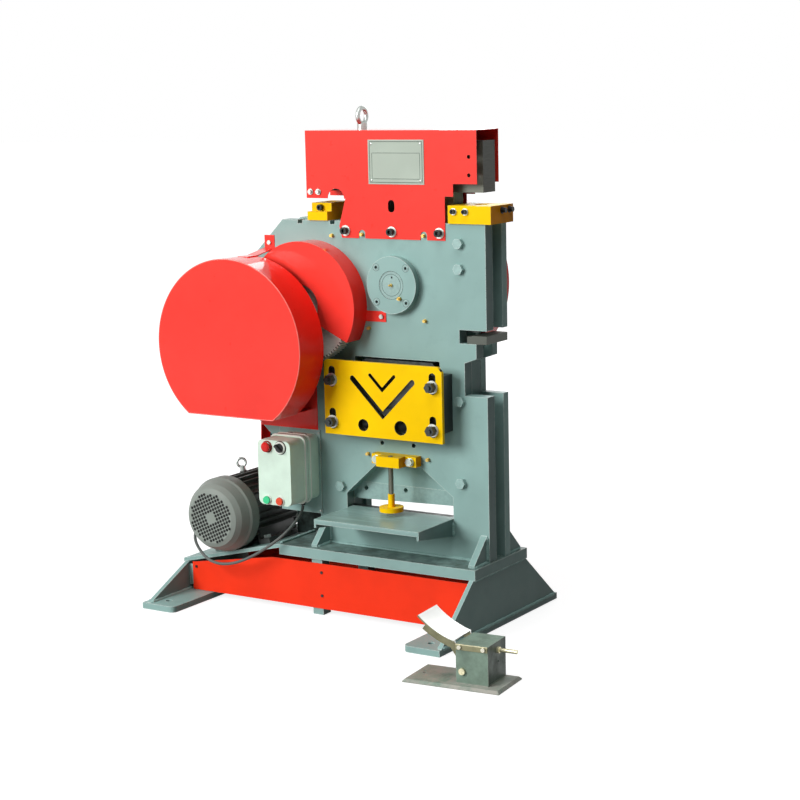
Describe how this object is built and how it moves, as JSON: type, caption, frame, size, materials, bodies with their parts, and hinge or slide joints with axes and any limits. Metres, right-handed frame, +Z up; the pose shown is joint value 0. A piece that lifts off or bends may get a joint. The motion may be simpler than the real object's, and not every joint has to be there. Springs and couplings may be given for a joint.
{
  "type": "mechanical_ironworker",
  "caption": "Mechanical ironworker with punch, angle, flat bar and notching stations, flywheel and gear drive under red guards, sloping motor plate, control box and loose foot pedal",
  "frame": {"origin": "floor level at the centre of the four anchor holes in the foot pads", "axes": "+X towards the notching throat, +Y to the back where the belt runs, +Z up"},
  "size_m": [1.2334, 0.8298, 1.3519],
  "materials": {
    "frame_paint": "grey-green paint, satin",
    "guard_red": "red paint, satin",
    "panel_red": "orange-red paint, satin",
    "die_yellow": "yellow paint, satin",
    "dark_steel": "oiled dark steel",
    "bright_steel": "bright zinc steel",
    "machined_steel": "turned or ground steel",
    "cast_iron": "raw cast iron",
    "bronze": "bearing bronze",
    "brass": "plain brass",
    "belt_rubber": "black belt rubber",
    "motor_dark": "dark grey motor paint",
    "motor_grey": "grey motor paint",
    "box_paint": "pale grey-green moulding",
    "black_plastic": "black moulding",
    "red_plastic": "red moulding",
    "orange_plastic": "orange-red moulding",
    "green_plastic": "green moulding",
    "cable_grey": "grey cable sheath",
    "hammered_paint": "hammered grey-green paint",
    "treadle_paint": "off-white paint",
    "label_plate": "bare printed plate without text"
  },
  "bodies": {
    "frame": {"front_plate": "frame_paint", "rear_plate": "frame_paint", "plate_spacers": "frame_paint", "hex_bolts": "bright_steel", "base_plate": "frame_paint", "base_legs": "frame_paint", "foot_pads": "frame_paint", "motor_plate": "frame_paint", "toolbox_panel": "panel_red", "sheet_screws": "bright_steel", "shear_table": "frame_paint", "flat_bed_blade": "dark_steel", "hold_down_bracket": "die_yellow", "angle_die_block": "dark_steel", "guide_studs": "dark_steel", "notch_die": "dark_steel", "die_blocks": "die_yellow", "socket_screws": "dark_steel", "top_cover": "guard_red", "nameplate": "label_plate", "lifting_eyes": "bright_steel", "bearing_flange": "frame_paint", "shaft_bushes": "bronze", "flywheel_guard": "guard_red", "gear_guard": "guard_red", "rear_gear_guard": "guard_red", "belt_guard": "guard_red", "grease_nipples": "brass", "motor_frame": "motor_dark", "motor_cowl": "motor_grey", "terminal_box": "motor_dark", "v_belts": "belt_rubber", "control_box": "box_paint", "control_box_lid": "box_paint", "mount_panel": "frame_paint", "cable_glands": "black_plastic", "motor_cable": "cable_grey", "pedal_base": "hammered_paint", "pedal_fittings": "brass"},
    "hold_down_pad": {"hold_down_pad": "die_yellow"},
    "hold_down_screw": {"hold_down_screw": "dark_steel"},
    "guide_plate": {"angle_guide_plate": "die_yellow"},
    "ram": {"ram": "frame_paint", "ram_head": "dark_steel", "ram_blades": "frame_paint"},
    "eccentric": {"eccentric_shaft": "machined_steel", "main_gear": "machined_steel"},
    "slide_block": {"slide_block": "bronze"},
    "intermediate": {"intermediate_shaft": "machined_steel", "intermediate_gear": "machined_steel"},
    "flywheel": {"flywheel_shaft": "machined_steel", "flywheel": "cast_iron", "flywheel_pulley": "cast_iron"},
    "motor_rotor": {"motor_rotor": "machined_steel", "motor_pulley": "cast_iron"},
    "emergency_stop": {"emergency_stop": "red_plastic"},
    "selector": {"selector": "black_plastic"},
    "start_button": {"start_button": "green_plastic"},
    "stop_button": {"stop_button": "orange_plastic"},
    "treadle": {"treadle": "treadle_paint"}
  },
  "joints": [
    {"name": "flywheel_spin", "type": "hinge", "parent": "frame", "child": "flywheel", "pos_m": [-0.20156, 0, 0.7308], "axis": [0, 1, 0], "continuous": true},
    {"name": "motor_spin", "type": "hinge", "parent": "frame", "child": "motor_rotor", "pos_m": [-0.3198, 0, 0.24577], "axis": [0, 1, 0], "continuous": true},
    {"name": "intermediate_spin", "type": "hinge", "parent": "frame", "child": "intermediate", "pos_m": [-0.05349, 0, 0.83314], "axis": [0, 1, 0], "continuous": true},
    {"name": "eccentric_spin", "type": "hinge", "parent": "frame", "child": "eccentric", "pos_m": [0.207, 0, 0.894], "axis": [0, 1, 0], "continuous": true},
    {"name": "slide_block_turn", "type": "hinge", "parent": "eccentric", "child": "slide_block", "pos_m": [0.207, 0, 0.909], "axis": [0, 1, 0], "continuous": true},
    {"name": "ram_slide", "type": "slide", "parent": "frame", "child": "ram", "axis": [0, 0, -1], "range_m": [0, 0.03]},
    {"name": "guide_plate_slide", "type": "slide", "parent": "frame", "child": "guide_plate", "axis": [0, 0, 1], "range_m": [-0.024, 0.01]},
    {"name": "hold_down_lift", "type": "slide", "parent": "frame", "child": "hold_down_pad", "axis": [0, 0, 1], "range_m": [-0.01, 0.036]},
    {"name": "hold_down_turn", "type": "hinge", "parent": "hold_down_pad", "child": "hold_down_screw", "pos_m": [0.2055, -0.096, 0.4], "axis": [0, 0, 1], "range_deg": [-1200, 4320]},
    {"name": "emergency_stop_press", "type": "slide", "parent": "frame", "child": "emergency_stop", "axis": [0, 1, 0], "range_m": [0, 0.004]},
    {"name": "selector_turn", "type": "hinge", "parent": "frame", "child": "selector", "pos_m": [-0.082, -0.188, 0.461], "axis": [0, 1, 0], "range_deg": [-45, 45]},
    {"name": "start_press", "type": "slide", "parent": "frame", "child": "start_button", "axis": [0, 1, 0], "range_m": [0, 0.003], "stiffness_N_per_m": 800},
    {"name": "stop_press", "type": "slide", "parent": "frame", "child": "stop_button", "axis": [0, 1, 0], "range_m": [0, 0.003], "stiffness_N_per_m": 800},
    {"name": "treadle_press", "type": "hinge", "parent": "frame", "child": "treadle", "pos_m": [0.64039, -0.43302, 0.039], "axis": [0.0872, -0.9962, 0], "range_deg": [0, 12], "stiffness_Nm_per_rad": 8, "springref_deg": -5.73}
  ],
  "couplings": [
    {"joint": "motor_spin", "follows": "flywheel_spin", "ratio": 3},
    {"joint": "intermediate_spin", "follows": "flywheel_spin", "ratio": -0.2},
    {"joint": "eccentric_spin", "follows": "flywheel_spin", "ratio": 0.060976},
    {"joint": "slide_block_turn", "follows": "flywheel_spin", "ratio": -0.060976},
    {"joint": "hold_down_turn", "follows": "hold_down_lift", "rad_per_m": 2094.4}
  ]
}
